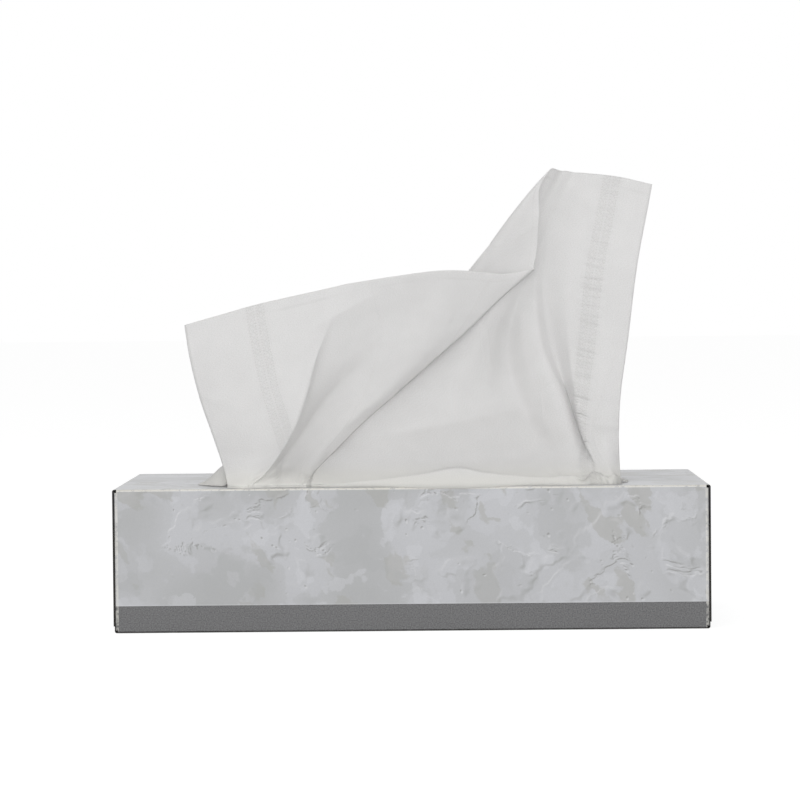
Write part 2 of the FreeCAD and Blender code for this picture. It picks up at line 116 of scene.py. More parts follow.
# Ribs of the raised tissue, from its left edge to its right edge. Each runs from the top panel up
# to the free edge, along a fold, a hollow or a swell. True marks a sharp fold. Heights are above the
# top panel.
RAISED_RIBS = [
    ("left_edge", False, [(-71, -50, 1), (-73, -46, 8), (-78, -45, 22.5), (-82, -43, 34),
                          (-86, -41, 50.5), (-88, -38, 63)]),
    ("left_middle", False, [(-67.5, -53, 1), (-66.5, -49, 8.5), (-66, -49, 22.5), (-67.5, -46, 38),
                            (-70.5, -43, 53.5), (-73, -39, 67)]),
    ("left_bulge", False, [(-64.5, -54, 1), (-60, -51, 8.5), (-55.5, -51, 22.5), (-54, -49, 38),
                           (-55.5, -44, 55), (-58.5, -40, 71)]),
    ("left_crest", True, [(-61.5, -53, 1), (-56, -50, 6), (-46.5, -50, 20), (-41, -48, 34.5),
                          (-35.5, -43, 52), (-25, -39, 78.5)]),
    ("crest_back", False, [(-60, -52, 1), (-55, -47, 6), (-45.3, -42.5, 20), (-39.8, -41.5, 34.5),
                           (-33.5, -40.5, 52), (-20.5, -39.3, 79.2)]),
    ("left_valley", False, [(-50, -50, 1), (-49.5, -43, 6.5), (-42.5, -34.5, 20.5), (-31, -31.5, 37),
                            (-14, -34.5, 54.5), (12, -35.5, 83.5)]),
    ("valley_back", False, [(-45, -50, 1), (-44.5, -41, 8), (-34, -34, 21.5), (-20, -33, 36),
                            (-2, -35, 52.5), (27, -32.5, 83)]),
    ("front_swell", False, [(-42, -51, 1), (-39.5, -39, 7.5), (-27.5, -35, 21), (-13, -35, 33.5),
                            (8, -34, 53.5), (37.5, -29.8, 82)]),
    ("fold_two", True, [(-40.5, -51, 1), (-36.5, -35.5, 7), (-24, -31.5, 19.5), (-8, -31.5, 33.5),
                        (17, -30.5, 55.5), (48.5, -29, 84)]),
    ("flap_low", False, [(-40, -50, 1), (-36.3, -34.5, 7.5), (-24.2, -30.5, 20.5), (-7.3, -30.5, 37),
                         (17.2, -30, 60), (50.2, -28.5, 91)]),
    ("flap", False, [(-39.5, -49, 1), (-36, -33.5, 8), (-24.5, -30, 21.5), (-6, -30, 42),
                     (17.5, -29, 68), (51.2, -28, 105)]),
    ("flap_high", False, [(-39.2, -48, 1), (-35.4, -32, 9.5), (-25.3, -29.5, 22.4), (-4.8, -29, 47),
                          (20.5, -28, 76), (51.8, -27, 117)]),
    ("fold_one", True, [(-39, -47, 1), (-35, -31, 11), (-26, -28.5, 23), (-4, -27.5, 50.5),
                        (23, -26.5, 83.5), (56, -25, 123)]),
    ("back_left", False, [(-23, -50, 1), (-18.5, -33.5, 11), (-10.5, -29.3, 27), (7.5, -27.6, 52),
                          (31.5, -26.6, 86.5), (57, -24, 123.2)]),
    ("back_middle", False, [(3.5, -53, 1), (6.5, -33, 11), (10.5, -28.4, 28.5), (22.5, -28.2, 52),
                            (39.5, -27, 86.5), (58.6, -21.5, 122.8)]),
    ("back_crease", False, [(18.5, -53, 1), (19.5, -33, 11), (19.5, -27.4, 28.5), (27, -27.4, 52),
                            (41.8, -26.6, 86.5), (59.8, -19, 122.5)]),
    ("back_right", False, [(28.5, -53, 1), (28, -32, 11), (28, -25.5, 28.5), (31.5, -24.5, 52),
                           (44, -25.6, 86.5), (60.5, -18, 122.5)]),
    ("valley_two", False, [(54, -50, 1), (52, -28, 12), (43, -19, 31), (38, -18, 52),
                           (46.5, -23.5, 84), (62, -18, 122.5)]),
    ("ridge_side", False, [(60, -50, 1), (58.5, -30, 12.5), (51.5, -24, 31), (44.5, -22.5, 56),
                           (48.5, -22.5, 84), (63.5, -17.5, 122.3)]),
    ("ridge", False, [(66.5, -50, 1), (64.5, -31, 13), (58.5, -26, 33), (50.5, -24, 57),
                      (50, -22, 84), (65, -17, 122)]),
    ("right_valley", False, [(71.8, -46, 1), (68.2, -27, 15), (62.5, -21.5, 32), (56.5, -20, 52),
                             (53, -20, 82), (67.5, -18, 121.8)]),
    ("right_crest", True, [(75.5, -47, 1), (69.8, -33, 12.6), (66, -29.5, 30), (62.5, -27, 46),
                           (63, -23.5, 84), (74.5, -20, 121)]),
    ("right_bulge", False, [(78, -48, 1), (75.5, -35, 14.5), (74.5, -33, 32.5), (75, -31, 54),
                            (78.5, -28, 86), (84, -24, 119.5)]),
    ("right_edge", False, [(82, -42, 1), (81, -34, 12.5), (82, -33, 32), (85, -32, 53.5),
                           (89.5, -30, 86), (95.5, -27, 116.5)]),
]
VISIBLE_ROWS = 13

# Low tuck in front of the raised tissue: (x, height) along the box. For each millimetre of height
# it leans forward by TUCK_LEAN, and the crease behind it lies back by TUCK_DEPTH.
TUCK = [(-39, 0.0), (-20, 1.6), (0, 4.0), (18.5, 7.4), (33, 4.3), (48, 0.4), (54, 2.8), (60, 3.6),
        (66.5, 3.0), (71.8, 4.6), (75.5, 2.4), (78, 3.6), (82, 1.6)]
TUCK_LEAN = 0.4
TUCK_DEPTH = 0.7

# Creases of the standing tissue, in the front view: (from, to, height, reach, back layer only)
CREASES = [
    ((-39.5, 60.5), (-13, 75), 0.8, 4.0, False),
    ((16.5, 49), (16.5, 25), 0.7, 3.0, True),
    ((64, 114.5), (75, 105.5), 0.8, 3.0, True),
    ((-26, 15.5), (11.5, 22.8), 0.5, 2.2, True),
    ((11.5, 22.8), (43, 28.3), 0.5, 2.2, True),
    ((-80, 35), (-62, 30), 0.5, 4.0, False),
    ((10, 66), (33, 60), 0.4, 3.0, False),
    ((72, 22.5), (83, 21.6), 0.5, 1.6, True),
    ((75.5, 17), (81, 7), 0.5, 1.6, True),
]

# Free edge of the next tissue, behind the raised one, with heights above the top panel. Its two
# ends bend down to the panel and stick out at the sides.
NEXT_EDGE = [
    (-84, -32, 0.4), (-80, -38, 0.4), (-76, -42, 0.4), (-72.8, -43, 0.5), (-70.5, -36, 3.2),
    (-66, -20, 5), (-50, -15, 11.5), (-25, -20, 16), (8, -18.5, 22.5), (38, -15.5, 29),
    (50, -9, 25.5), (64, -9, 15.5), (76, -26, 4.0), (80.5, -36, 1.9), (83.5, -38, 0.5),
    (85, -34, 0.4),
]

# How far its sheet rises above a straight run from the slit to that edge: (x, rise)
NEXT_RISE = [(-84, 0.4), (-80, 3.6), (-75, 7.4), (-66, 1.0), (-58, 0), (66, 0), (78, 3.0),
             (84.5, 0.4)]


# Curves and sheets

def lengths(points):
    """How far along its first axis each line of points has come."""
    steps = np.linalg.norm(np.diff(points, axis=0), axis=-1)
    start = np.zeros_like(steps[:1])
    return np.concatenate([start, np.cumsum(steps, axis=0)])


def bend(a, b, c, d, share):
    """Points on the soft curves from b to c that come from a and go on to d."""
    knots = [np.zeros(b.shape[:-1] + (1,))]
    for p, q in ((a, b), (b, c), (c, d)):
        gap = np.maximum(np.linalg.norm(q - p, axis=-1, keepdims=True), SAME)
        knots.append(knots[-1] + np.sqrt(gap))
    t = knots[1] + share * (knots[2] - knots[1])

    def mix(p, q, first, last):
        weight = (t - knots[first]) / (knots[last] - knots[first])
        return p * (1 - weight) + q * weight

    middle = mix(b, c, 1, 2)
    return mix(mix(mix(a, b, 0, 1), middle, 0, 2), mix(middle, mix(c, d, 2, 3), 1, 3), 1, 2)


def soft_lines(points, sharp, step):
    """Lines through the points along the first axis, about step apart, that break at sharp ones."""
    points = np.asarray(points, float)
    made = []
    for i in range(len(points) - 1):
        b, c = points[i], points[i + 1]
        a = b * 2 - c if i == 0 or sharp[i] else points[i - 1]
        d = c * 2 - b if i + 2 == len(points) or sharp[i + 1] else points[i + 2]
        pieces = max(1, round(float(np.linalg.norm(c - b, axis=-1).max()) / step))
        made += [bend(a, b, c, d, k / pieces) for k in range(pieces)]
    return np.array(made + [points[-1]])


def evenly(line, count):
    """A line of points divided into even parts."""
    along = lengths(line)
    places = np.linspace(0, along[-1], count)
    return np.stack([np.interp(places, along, line[:, k]) for k in range(3)], axis=-1)


def shares(points):
    """How far along the line each point lies, from 0 to 1."""
    along = lengths(np.asarray(points, float))
    return along / along[-1]


def normals(grid):
    """The direction that faces the front at each point of a grid of columns and rows."""
    across = np.gradient(grid, axis=0)
    along = np.gradient(grid, axis=1)
    facing = np.cross(across, along)
    return facing / np.maximum(np.linalg.norm(facing, axis=-1, keepdims=True), 1e-9)


def ripples(u, v, seed, waves, shortest, longest, stretch=1.0):
    """Smooth irregular waves, about 1 high. The lengths are in the units of u and v."""
    rng = np.random.default_rng(seed)
    total = np.zeros_like(u)
    for _ in range(waves):
        angle = rng.uniform(0, math.pi)
        length = rng.uniform(shortest, longest)
        phase = rng.uniform(0, 2 * math.pi)
        along = u * math.cos(angle) + v / stretch * math.sin(angle)
        total += np.sin(2 * math.pi * along / length + phase)
    return total / math.sqrt(waves / 2)


def steps_between(low, high, values):
    """0 below low, 1 above high, and a soft rise between."""
    t = np.clip((values - low) / (high - low), 0, 1)
    return t * t * (3 - 2 * t)


def mesh_object(name, points, faces, uv=None, smooth=True):
    """A Blender mesh from points in millimetres."""
    mesh = bpy.data.meshes.new(name)
    mesh.from_pydata((np.asarray(points) * MM).tolist(), [], [list(face) for face in faces])
    if uv is not None:
        layer = mesh.uv_layers.new(name="paper")
        corners = np.zeros(len(mesh.loops), dtype=np.int64)
        mesh.loops.foreach_get("vertex_index", corners)
        layer.data.foreach_set("uv", np.asarray(uv, np.float32)[corners].ravel())
    if smooth:
        mesh.polygons.foreach_set("use_smooth", [True] * len(mesh.polygons))
    mesh.validate()
    mesh.update()
    made = bpy.data.objects.new(name, mesh)
    bpy.context.scene.collection.objects.link(made)
    return made


def sheet_object(name, grid, paper, thickness):
    """A closed thin sheet around a grid of points, whose places on the flat sheet paper gives."""
    columns, rows = grid.shape[:2]
    shift = normals(grid) * thickness / 2
    points = np.concatenate([(grid + shift).reshape(-1, 3), (grid - shift).reshape(-1, 3)])
    other = columns * rows
    index = np.arange(other).reshape(columns, rows)
    quads = np.stack([index[:-1, :-1], index[1:, :-1], index[1:, 1:], index[:-1, 1:]], axis=-1)
    quads = quads.reshape(-1, 4)
    rim = np.concatenate([index[:-1, 0], index[-1, :-1], index[:0:-1, -1], index[0, :0:-1]])
    after = np.roll(rim, -1)
    edge = np.stack([after, rim, rim + other, after + other], axis=-1)
    faces = np.concatenate([quads, quads[:, ::-1] + other, edge])
    uv = np.concatenate([paper.reshape(-1, 2)] * 2) / TISSUE_WIDTH
    return mesh_object(name, points, faces, uv)


# The loose tissues

def between(points, x):
    """The second value at x on a line of (x, value) points, level past its ends."""
    xs, values = zip(*points)
    return float(np.interp(x, xs, values))


def rib_points(points):
    """A rib above the top panel, divided evenly along a smooth curve."""
    raised = np.array(points, float) + (0, 0, TOP)
    line = soft_lines(raised, [False] * len(raised), GRID_STEP)
    return evenly(line, VISIBLE_ROWS)


def inside_run(share, side, lower, tail_end):
    """One line of a tissue in the carton: its end, its hairpin, its upper layer and the slit."""
    upper = lower + LAYER
    flat_x = TISSUE_WIDTH * (share - 0.5)
    slit_x = GATHERED_WIDTH * (share - 0.5)
    flat = [(tail_end, lower), (INNER_FOLD - HAIRPIN, lower), (INNER_FOLD, lower),
            (INNER_FOLD, upper), (INNER_FOLD - HAIRPIN, upper), (RISE_START, upper)]
    points = [(flat_x, side * y, z) for y, z in flat]
    points.append(((flat_x + slit_x) / 2, side * RISE_TURN, upper + RISE_LIFT))
    points += [(slit_x, side * SLIT_SIDE, z) for z in (TOP - SLIT_RUN, TOP)]
    return points


def skirt_run(slit, base):
    """One line of the raised tissue from the slit forward over the panel, then up at its base."""
    level = TOP + SKIRT_LIFT
    tuck = between(TUCK, base[0])
    front = base[1] - SKIRT_SPREAD - tuck * TUCK_LEAN
    rest = TOP + SKIRT_REST
    run = [(slit[0], slit[1] - SKIRT_CURL, level + SKIRT_CURL)]
    run += [(slit[0] + (base[0] - slit[0]) * part, base[1] * part, level) for part in (1 / 3, 2 / 3)]
    run.append((base[0], front, rest))
    run.append((base[0], front + tuck / 4, rest + tuck + SKIRT_CURL))
    run.append((base[0], front + tuck * TUCK_DEPTH, rest + tuck / 4 + 2 * SKIRT_CURL))
    return run


def dressed_grid(columns, sharp, sharp_rows=()):
    """A fine grid of points through the ribs."""
    grid = soft_lines(columns, sharp, GRID_STEP)
    creased_rows = [row in sharp_rows for row in range(len(columns[0]))]
    grid = soft_lines(np.swapaxes(grid, 0, 1), creased_rows, GRID_STEP)
    return np.swapaxes(grid, 0, 1)


def paper_places(grid):
    """Millimetres across the flat sheet, and down from its free edge, for each point of a grid."""
    across = lengths(grid)
    share = across[:, -1:] / across[-1, -1]
    from_right = TISSUE_WIDTH - (across[-1:] - across)
    u = across + (from_right - across) * steps_between(0.35, 0.75, share)
    along = lengths(np.swapaxes(grid, 0, 1)).T
    v = along[:, -1:] - along
    return np.stack([u, v], axis=-1)


def creased(grid, u):
    """How far the creases lift each point of the standing tissue."""
    total = np.zeros_like(u)
    at = np.stack([grid[..., 0], grid[..., 2] - TOP], axis=-1)
    for start, end, height, reach, back in CREASES:
        way = np.subtract(end, start)
        long = math.hypot(*way)
        along = ((at - start) @ way) / long
        off = np.abs((at - start) @ np.array((-way[1], way[0])) / long)
        ends = steps_between(-3, 4, along) * (1 - steps_between(long - 4, long + 3, along))
        layer = (u > TISSUE_WIDTH * 0.55) if back else (u < TISSUE_WIDTH * 0.5)
        total += height * np.exp(-off / reach) * ends * layer
    return total


def in_squares(grid):
    """Where a sheet's points lie in the front view, counted in squares across and up."""
    return grid[..., 0] / SQUARE + SQUARES_ACROSS / 2, (grid[..., 2] - TOP) / SQUARE


def back_of(grid):
    """How far back a sheet's points reach in each square of the front view, and around it."""
    reach = np.full((SQUARES_ACROSS, SQUARES_UP), np.nan)
    column, row = (count.astype(int) for count in in_squares(grid))
    seen = (row >= 0) & (row < SQUARES_UP) & (column >= 0) & (column < SQUARES_ACROSS)
    for i, k, y in zip(column[seen], row[seen], grid[..., 1][seen]):
        reach[i, k] = y if np.isnan(reach[i, k]) else max(reach[i, k], y)
    for _ in range(30):      # squares without a point take the mean of their neighbours
        near = np.stack([np.roll(reach, shift, axis) for axis in (0, 1) for shift in (-1, 1)])
        count = (~np.isnan(near)).sum(axis=0)
        mean = np.nansum(near, axis=0) / np.maximum(count, 1)
        reach = np.where(np.isnan(reach) & (count > 0), mean, reach)
    near = np.stack([np.roll(reach, shift, axis) for axis in (0, 1) for shift in (-1, 0, 1)])
    return near.max(axis=0)


def tuck_behind(grid, front):
    """A grid of points moved close behind another sheet, where it stands up from the panel."""
    reach = back_of(front)
    x, z = in_squares(grid)
    x = np.clip(x - 0.5, 0, SQUARES_ACROSS - 2)
    z = np.clip(z - 0.5, 0, SQUARES_UP - 2)
    i, k = x.astype(int), z.astype(int)
    a, b = x - i, z - k
    y = (reach[i, k] * (1 - a) * (1 - b) + reach[i + 1, k] * a * (1 - b)
         + reach[i, k + 1] * (1 - a) * b + reach[i + 1, k + 1] * a * b) + CLOSE_BEHIND
    weight = steps_between(TOP + 6, TOP + 14, grid[..., 2]) * steps_between(-62, -50, grid[..., 0])
    moved = grid.copy()
    moved[..., 1] += (y - grid[..., 1]) * weight
    return moved


def raised_tissue(material):
    """The tissue that stands in the slit, with its Z-fold, its skirt and the half still inside."""
    ribs = [rib_points(points) for name, sharp, points in RAISED_RIBS]
    lower = STACK_TOP + LAYER / 2 + LAYER
    columns = []
    for share, rib in zip(shares([rib[1] for rib in ribs]), ribs):
        inside = inside_run(share, -1, lower, INNER_FOLD - RAISED_TAIL)
        columns.append(inside + skirt_run(inside[-1], rib[0]) + [tuple(p) for p in rib[1:]])
    tuck_top = len(columns[0]) - 1 - VISIBLE_ROWS
    grid = dressed_grid(columns, [sharp for name, sharp, points in RAISED_RIBS], (tuck_top,))
    paper = paper_places(grid)
    u, v = paper[..., 0], paper[..., 1]
    above = steps_between(TOP + 3, TOP + 14, grid[..., 2])
    small = ripples(u, v, 3, 9, 14, 34, 2.0) * 0.12
    broad = ripples(u, v, 8, 6, 45, 90) * 0.5
    grid = grid + normals(grid) * ((small + broad) * above)[..., None]
    sides = steps_between(44, 54, grid[..., 0]) + 0.4 * steps_between(16, 30, -grid[..., 0])
    low = (1 - steps_between(TOP + 3, TOP + 9, grid[..., 2])) * sides
    crumples = np.abs(ripples(u, v, 21, 5, 8, 18)) * -0.4 * low * (grid[..., 2] > TOP + 0.4)
    grid = grid + normals(grid) * (creased(grid, u) + crumples)[..., None]
    sheet = sheet_object("raised_tissue_sheet", grid, paper, PLY)
    sheet.data.materials.append(material)
    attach(sheet, "root")
    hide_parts("raised_tissue")
    return grid


def next_tissue(material, front):
    """The tissue behind, whose free edge has come up through the slit with the raised one."""
    edge = [(x, y, TOP + height) for x, y, height in NEXT_EDGE]
    lower = STACK_TOP + LAYER / 2
    columns = []
    for share, tip in zip(shares(edge), edge):
        inside = inside_run(share, 1, lower, -INNER_FOLD)
        start = np.array((inside[-1][0], inside[-1][1], TOP + NEXT_LIFT))
        way = np.array(tip) - start
        rise = between(NEXT_RISE, tip[0])
        forward = min(rise / 3, 1) * NEXT_SWING
        line = [start + way * part for part in (0, 1 / 3 + forward, 2 / 3 + forward, 1)]
        line[1] = line[1] + (0, 0, rise * 0.75)
        line[2] = line[2] + (0, 0, rise)
        columns.append(inside + [tuple(point) for point in line])
    grid = dressed_grid(columns, [False] * len(columns))
    grid = tuck_behind(grid, front)
    paper = paper_places(grid)
    sheet = sheet_object("next_tissue_sheet", grid, paper, PLY)
    sheet.data.materials.append(material)
    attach(sheet, "root")
    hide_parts("next_tissue")


def tissue_stack():
    """The folded tissues left in the carton, layer on layer."""
    rng = np.random.default_rng(5)
    layers = round((stack_high.z - stack_low.z) / STACK_LAYER)
    crown = stack_high.z - STACK_CROWN
    high = (crown - stack_low.z) / layers
    side = []
    for layer in range(layers):
        back = 0.25 + rng.uniform(0, 0.5)
        for part in (0.0, 0.25, 0.5, 0.75):
            hollow = STACK_BULGE * (1 - math.sin(math.pi * part))
            side.append((STACK_HALF_DEPTH - back - hollow, stack_low.z + (layer + part) * high))
    flat = np.linspace(STACK_HALF_DEPTH - 3, 3 - STACK_HALF_DEPTH, 40)
    top = [(y, crown) for y in flat]
    bottom = [(-y, stack_low.z) for y in flat]
    loop = np.array(side + top + [(-y, z) for y, z in side[::-1]] + bottom)
    xs = np.linspace(stack_low.x + 0.5, stack_high.x - 0.5, 90)
    x = np.repeat(xs[:, None], len(loop), axis=1)
    y = np.repeat(loop[None, :, 0], len(xs), axis=0)
    z = np.repeat(loop[None, :, 1], len(xs), axis=0)
    sway = ripples(x, z, 12, 6, 40, 120) * 0.12 * np.sign(y)
    settled = ripples(x, y, 14, 6, 50, 110) * 0.15 * steps_between(stack_high.z - 3, stack_high.z, z)
    points = np.stack([x, y - np.abs(sway) * np.sign(y), z - np.abs(settled)], axis=-1)
    index = np.arange(len(xs) * len(loop)).reshape(len(xs), len(loop))
    after = np.roll(index, -1, axis=1)
    faces = np.stack([index[:-1], index[1:], after[1:], after[:-1]], axis=-1).reshape(-1, 4).tolist()
    faces += [index[0].tolist(), index[-1][::-1].tolist()]
    made = mesh_object("stacked_tissues", points.reshape(-1, 3), faces, smooth=False)
    made.data.materials.append(stacked_paper())
    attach(made, "root")
    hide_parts("tissue_stack")


# Materials

def srgb(red, green, blue):
    """A colour written from 0 to 255 as screens show it, in linear light."""
    values = [channel / 255 for channel in (red, green, blue)]
    return tuple(v / 12.92 if v <= 0.04045 else ((v + 0.055) / 1.055) ** 2.4 for v in values) + (1.0,)


class Wire:
    """A value that a material's nodes work out. Python's operators on it add Math nodes."""

    def __init__(self, finish, socket):
        self.finish = finish
        self.socket = socket

    def math(self, operation, *others):
        inputs = dict(enumerate((self, *others)))
        return self.finish.add("ShaderNodeMath", inputs, operation=operation)

    def __add__(self, other):
        return self.math("ADD", other)

    def __sub__(self, other):
        return self.math("SUBTRACT", other)

    def __rsub__(self, other):
        return self.finish.add("ShaderNodeMath", {0: other, 1: self}, operation="SUBTRACT")

    def __mul__(self, other):
        return self.math("MULTIPLY", other)

    def __truediv__(self, other):
        return self.math("DIVIDE", other)

    def __gt__(self, other):
        return self.math("GREATER_THAN", other)

    def __lt__(self, other):
        return self.math("LESS_THAN", other)

    __radd__ = __add__
    __rmul__ = __mul__

    def size(self):
        return self.math("ABSOLUTE")

    def wave(self):
        return self.math("SINE")

    def least(self, other):
        return self.math("MINIMUM", other)

    def most(self, other):
        return self.math("MAXIMUM", other)

    def rise(self, low, high):
        """0 where the value is under low, 1 over high, and a soft rise between."""
        inputs = {"Value": self, "From Min": low, "From Max": high}
        return self.finish.add("ShaderNodeMapRange", inputs, interpolation_type="SMOOTHSTEP")


class Finish:
    """One material. add() makes any node, and returns one of its outputs as a Wire."""

    def __init__(self, name):
        self.material = bpy.data.materials.new(name)
        self.material.use_nodes = True
        self.nodes = self.material.node_tree.nodes
        self.links = self.material.node_tree.links
        self.nodes.clear()

    def add(self, kind, inputs=None, output=0, **settings):
        node = self.nodes.new(kind)
        for name, value in settings.items():
            setattr(node, name, value)
        for name, value in (inputs or {}).items():
            if isinstance(value, Wire):
                self.links.new(value.socket, node.inputs[name])
            else:
                node.inputs[name].default_value = value
        return Wire(self, node.outputs[output]) if node.outputs else None

    def place(self):
        """The point's place in the carton's frame, in millimetres."""
        local = self.add("ShaderNodeTexCoord", output="Object")
        return self.add("ShaderNodeVectorMath", {0: local, "Scale": 1 / MM}, operation="SCALE")

    def parts(self, vector):
        """The three numbers of a vector."""
        return [self.add("ShaderNodeSeparateXYZ", {0: vector}, output=axis) for axis in range(3)]

    def moved(self, vector, offset):
        return self.add("ShaderNodeVectorMath", {0: vector, 1: offset}, operation="ADD")

    def scaled(self, vector, factors):
        return self.add("ShaderNodeVectorMath", {0: vector, 1: factors}, operation="MULTIPLY")

    def noise(self, vector, length, detail=3.0, rough=0.5, warp=0.0, output=0):
        """Soft noise from 0 to 1 whose waves are about length millimetres long."""
        inputs = {"Vector": vector, "Scale": 1 / length, "Detail": detail, "Roughness": rough,
                  "Distortion": warp}
        return self.add("ShaderNodeTexNoise", inputs, output=output)

    def cells(self, vector, length):
        """How far the point lies from the nearest of scattered points, in shares of length."""
        return self.add("ShaderNodeTexVoronoi", {"Vector": vector, "Scale": 1 / length})

    def blend(self, mask, under, over):
        """Two colours mixed by a mask."""
        return self.add("ShaderNodeMix", {0: mask, 6: under, 7: over}, output=2, data_type="RGBA")

    def bump(self, height, strength, distance, normal=None):
        """Relief from a height, whose full rise is a distance in millimetres."""
        inputs = {"Height": height, "Strength": strength, "Distance": distance * MM}
        if normal:
            inputs["Normal"] = normal
        return self.add("ShaderNodeBump", inputs)

    def principled(self, **inputs):
        named = {name.replace("_", " "): value for name, value in inputs.items()}
        return self.add("ShaderNodeBsdfPrincipled", named)

    def close(self, shader):
        self.add("ShaderNodeOutputMaterial", {"Surface": shader})
        return self.material


def plaster(finish, place):
    """Printed plaster: clouds, trowelled patches, tan smears, raised lines and pits."""
    warp = finish.noise(place, 26, detail=4, output=1)
    shift = finish.scaled(finish.moved(warp, (-0.5, -0.5, -0.5)), (16, 16, 16))
    bent = finish.moved(place, shift)

    def relief(at):
        """Height of the printed relief at a place."""
        flat = finish.scaled(at, (0.6, 0.6, 1))
        field = finish.noise(flat, 24, detail=6, rough=0.6, warp=0.4)
        shelf = (field - 0.5).rise(-0.012, 0.012)
        broken = finish.noise(at, 13, detail=2).rise(0.47, 0.56)
        zone = finish.noise(place, 55, detail=1).rise(0.44, 0.56)
        pits = 1 - finish.cells(at, 4.2).rise(0.06, 0.17)
        some = finish.noise(at, 30, detail=2).rise(0.52, 0.6)
        return shelf * broken * zone - pits * some * 0.9

    light_from = (-0.4, 0.0, 0.5)
    stamped = relief(bent) - relief(finish.moved(bent, light_from))
    ragged = finish.noise(place, 5, detail=5, rough=0.7, output=1)
    jagged = finish.moved(bent, finish.scaled(ragged, (5, 5, 5)))
    clouds = finish.noise(jagged, 55, detail=2).rise(0.36, 0.64)
    colour = finish.blend(clouds, srgb(175, 176, 177), srgb(188, 189, 192))
    pale = finish.noise(jagged, 26, detail=3).rise(0.5, 0.53)
    colour = finish.blend(pale * 0.45, colour, srgb(196, 197, 201))
    paler = finish.noise(finish.moved(jagged, (90, 30, 10)), 15, detail=3).rise(0.57, 0.6)
    colour = finish.blend(paler * 0.4, colour, srgb(204, 205, 209))
    slanted = finish.add("ShaderNodeVectorRotate", {"Vector": jagged, "Angle": 0.7},
                         rotation_type="Y_AXIS")
    stroke = finish.scaled(slanted, (1, 1, 0.45))
    dull = finish.noise(finish.moved(stroke, (210, 40, 90)), 15, detail=3).rise(0.585, 0.61)
    colour = finish.blend(dull * 0.5, colour, srgb(165, 164, 159))
    fog = finish.noise(finish.moved(jagged, (20, 70, 150)), 20, detail=3).rise(0.56, 0.6)
    colour = finish.blend(fog * 0.4, colour, srgb(171, 172, 173))
    colour = finish.blend(stamped.most(0.0) * 0.6, colour, srgb(214, 214, 216))
    colour = finish.blend((0 - stamped).most(0.0) * 0.7, colour, srgb(130, 129, 125))
    speck = finish.noise(place, 0.45, detail=2)
    return finish.blend(speck.rise(0.2, 0.8) * 0.14, colour, srgb(150, 150, 150))


